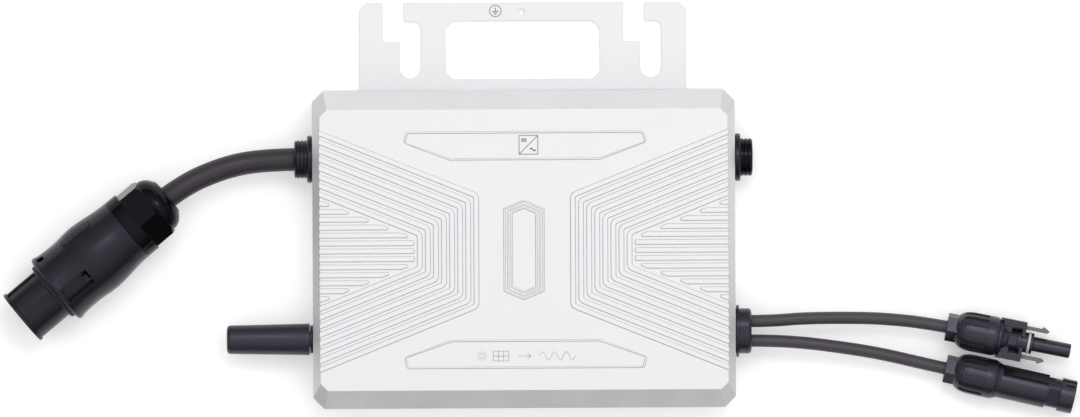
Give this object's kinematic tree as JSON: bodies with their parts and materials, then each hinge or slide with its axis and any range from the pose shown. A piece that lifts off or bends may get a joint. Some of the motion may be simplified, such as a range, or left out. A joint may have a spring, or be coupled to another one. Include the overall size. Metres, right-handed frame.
{
  "type": "solar micro-inverter",
  "caption": "Flat bevelled die-cast inverter with raised front bars, a slotted hanging bracket, an antenna, two DC leads with locking connectors and an AC lead with a round plug.",
  "frame": {"origin": "centre of the housing's rear face", "axes": "+X towards the DC leads, +Y towards the hanging bracket, +Z out of the front face"},
  "size_m": [0.5065, 0.1952, 0.0363],
  "materials": {
    "cast": "fine bead-blasted, clear",
    "sheet": "satin sheet",
    "steel": "plain zinc",
    "black_rubber": "matt",
    "cable_sheath": "matt extruded sheath",
    "black_plastic": "fine moulded texture",
    "gloss_black": "polished moulding",
    "pale_rubber": "silicone",
    "brass": "tin-plated",
    "copper": "enamelled wire",
    "ferrite": "matt sintered",
    "board": "solder mask",
    "can": "plain can",
    "chip": "matt",
    "film": "matt case",
    "relay": "smooth case",
    "pad": "soft gap pad",
    "varistor": "coated disc"
  },
  "bodies": {
    "inverter": {"front_housing": "cast", "rear_cover": "cast", "cover_gasket": "black_rubber", "cover_screws": "steel", "mounting_bracket": "sheet", "bracket_screws": "steel", "main_circuit_board": "board", "board_screws": "steel", "transformer_core": "ferrite", "transformer_winding": "copper", "input_capacitors": "can", "film_capacitors": "film", "choke_core": "ferrite", "choke_winding": "copper", "power_transistors": "chip", "thermal_pads": "pad", "grid_relays": "relay", "control_chips": "chip", "radio_module": "can", "surge_varistors": "varistor", "terminal_posts": "brass", "inner_leads": "black_rubber", "gland_gaskets": "black_rubber", "gland_locknuts": "black_plastic", "ac_gland_body": "black_plastic", "spare_port_body": "black_plastic", "antenna_base": "black_plastic", "dc_gland_body": "black_plastic", "dc_gland_seal": "black_rubber", "dc_gland_cap": "black_plastic", "ac_cable": "cable_sheath", "ac_plug_shroud": "black_plastic", "ac_plug_insert": "black_plastic", "ac_plug_contacts": "brass", "ac_plug_cores": "black_rubber", "ac_plug_seal": "black_rubber", "ac_plug_body": "black_plastic", "dc_cable_upper": "cable_sheath", "dc_socket_housing": "black_plastic", "dc_socket_seal": "pale_rubber", "dc_socket_contact": "brass", "dc_cable_lower": "cable_sheath", "dc_plug_housing": "black_plastic", "dc_plug_contact": "brass"},
    "ac_gland_seal_carriage": {"ac_gland_seal": "black_rubber"},
    "ac_gland_nut_turn": {"ac_gland_nut": "black_plastic"},
    "spare_seal_carriage": {"spare_port_seal": "black_rubber"},
    "spare_cap_turn": {"spare_port_cap": "gloss_black"},
    "antenna_seal_carriage": {"antenna_seal": "black_rubber"},
    "antenna_turn": {"antenna_sleeve": "black_plastic", "antenna_element": "brass"},
    "ac_plug_clamp_carriage": {"ac_plug_clamp": "black_plastic"},
    "ac_plug_nut_turn": {"ac_plug_nut": "gloss_black"},
    "dc_socket_clamp_carriage": {"dc_socket_clamp": "black_plastic"},
    "dc_socket_nut_turn": {"dc_socket_nut": "black_plastic"},
    "dc_plug_clamp_carriage": {"dc_plug_clamp": "black_plastic"},
    "dc_plug_nut_turn": {"dc_plug_nut": "black_plastic"},
    "latch_upper": {"dc_socket_latch_upper": "black_plastic"},
    "latch_lower": {"dc_socket_latch_lower": "black_plastic"}
  },
  "joints": [
    {"name": "ac_gland_nut_advance", "type": "slide", "parent": "inverter", "child": "ac_gland_seal_carriage", "axis": [-1, 0, 0], "range_m": [0, 0.00225]},
    {"name": "ac_gland_nut_unscrew", "type": "hinge", "parent": "ac_gland_seal_carriage", "child": "ac_gland_nut_turn", "pos_m": [-0.1049, 0.0426, 0.014], "axis": [-1, 0, 0], "range_deg": [0, 540]},
    {"name": "spare_cap_advance", "type": "slide", "parent": "inverter", "child": "spare_seal_carriage", "axis": [1, 0, 0], "range_m": [0, 0.0045]},
    {"name": "spare_cap_unscrew", "type": "hinge", "parent": "spare_seal_carriage", "child": "spare_cap_turn", "pos_m": [0.1045, 0.0426, 0.014], "axis": [1, 0, 0], "range_deg": [0, 1080]},
    {"name": "antenna_advance", "type": "slide", "parent": "inverter", "child": "antenna_seal_carriage", "axis": [-1, 0, 0], "range_m": [0, 0.004]},
    {"name": "antenna_unscrew", "type": "hinge", "parent": "antenna_seal_carriage", "child": "antenna_turn", "pos_m": [-0.12, -0.0423, 0.014], "axis": [-1, 0, 0], "range_deg": [0, 1440]},
    {"name": "ac_plug_nut_advance", "type": "slide", "parent": "inverter", "child": "ac_plug_clamp_carriage", "axis": [0.7694, 0.6388, 0], "range_m": [0, 0.00225]},
    {"name": "ac_plug_nut_unscrew", "type": "hinge", "parent": "ac_plug_clamp_carriage", "child": "ac_plug_nut_turn", "pos_m": [-0.17889, 0.01661, 0.0183], "axis": [0.7694, 0.6388, 0], "range_deg": [0, 540]},
    {"name": "dc_socket_nut_advance", "type": "slide", "parent": "inverter", "child": "dc_socket_clamp_carriage", "axis": [-0.9796, 0.2011, 0], "range_m": [0, 0.00187]},
    {"name": "dc_socket_nut_unscrew", "type": "hinge", "parent": "dc_socket_clamp_carriage", "child": "dc_socket_nut_turn", "pos_m": [0.21116, -0.04051, 0.0094], "axis": [-0.9796, 0.2011, 0], "range_deg": [0, 540]},
    {"name": "dc_plug_nut_advance", "type": "slide", "parent": "inverter", "child": "dc_plug_clamp_carriage", "axis": [-0.9744, 0.225, 0], "range_m": [0, 0.00187]},
    {"name": "dc_plug_nut_unscrew", "type": "hinge", "parent": "dc_plug_clamp_carriage", "child": "dc_plug_nut_turn", "pos_m": [0.21029, -0.0605, 0.0094], "axis": [-0.9744, 0.225, 0], "range_deg": [0, 540]},
    {"name": "latch_upper_squeeze", "type": "hinge", "parent": "inverter", "child": "latch_upper", "pos_m": [0.23164, -0.03768, 0.0094], "axis": [0, 0, -1], "range_deg": [0, 5], "stiffness_Nm_per_rad": 0.2},
    {"name": "latch_lower_squeeze", "type": "hinge", "parent": "inverter", "child": "latch_lower", "pos_m": [0.22887, -0.05119, 0.0094], "axis": [0, 0, 1], "range_deg": [0, 5], "stiffness_Nm_per_rad": 0.2}
  ],
  "couplings": [
    {"joint": "ac_gland_nut_unscrew", "follows": "ac_gland_nut_advance", "rad_per_m": 4188.8},
    {"joint": "spare_cap_unscrew", "follows": "spare_cap_advance", "rad_per_m": 4188.8},
    {"joint": "antenna_unscrew", "follows": "antenna_advance", "rad_per_m": 6283.2},
    {"joint": "ac_plug_nut_unscrew", "follows": "ac_plug_nut_advance", "rad_per_m": 4188.8},
    {"joint": "dc_socket_nut_unscrew", "follows": "dc_socket_nut_advance", "rad_per_m": 5026.5},
    {"joint": "dc_plug_nut_unscrew", "follows": "dc_plug_nut_advance", "rad_per_m": 5026.5}
  ]
}
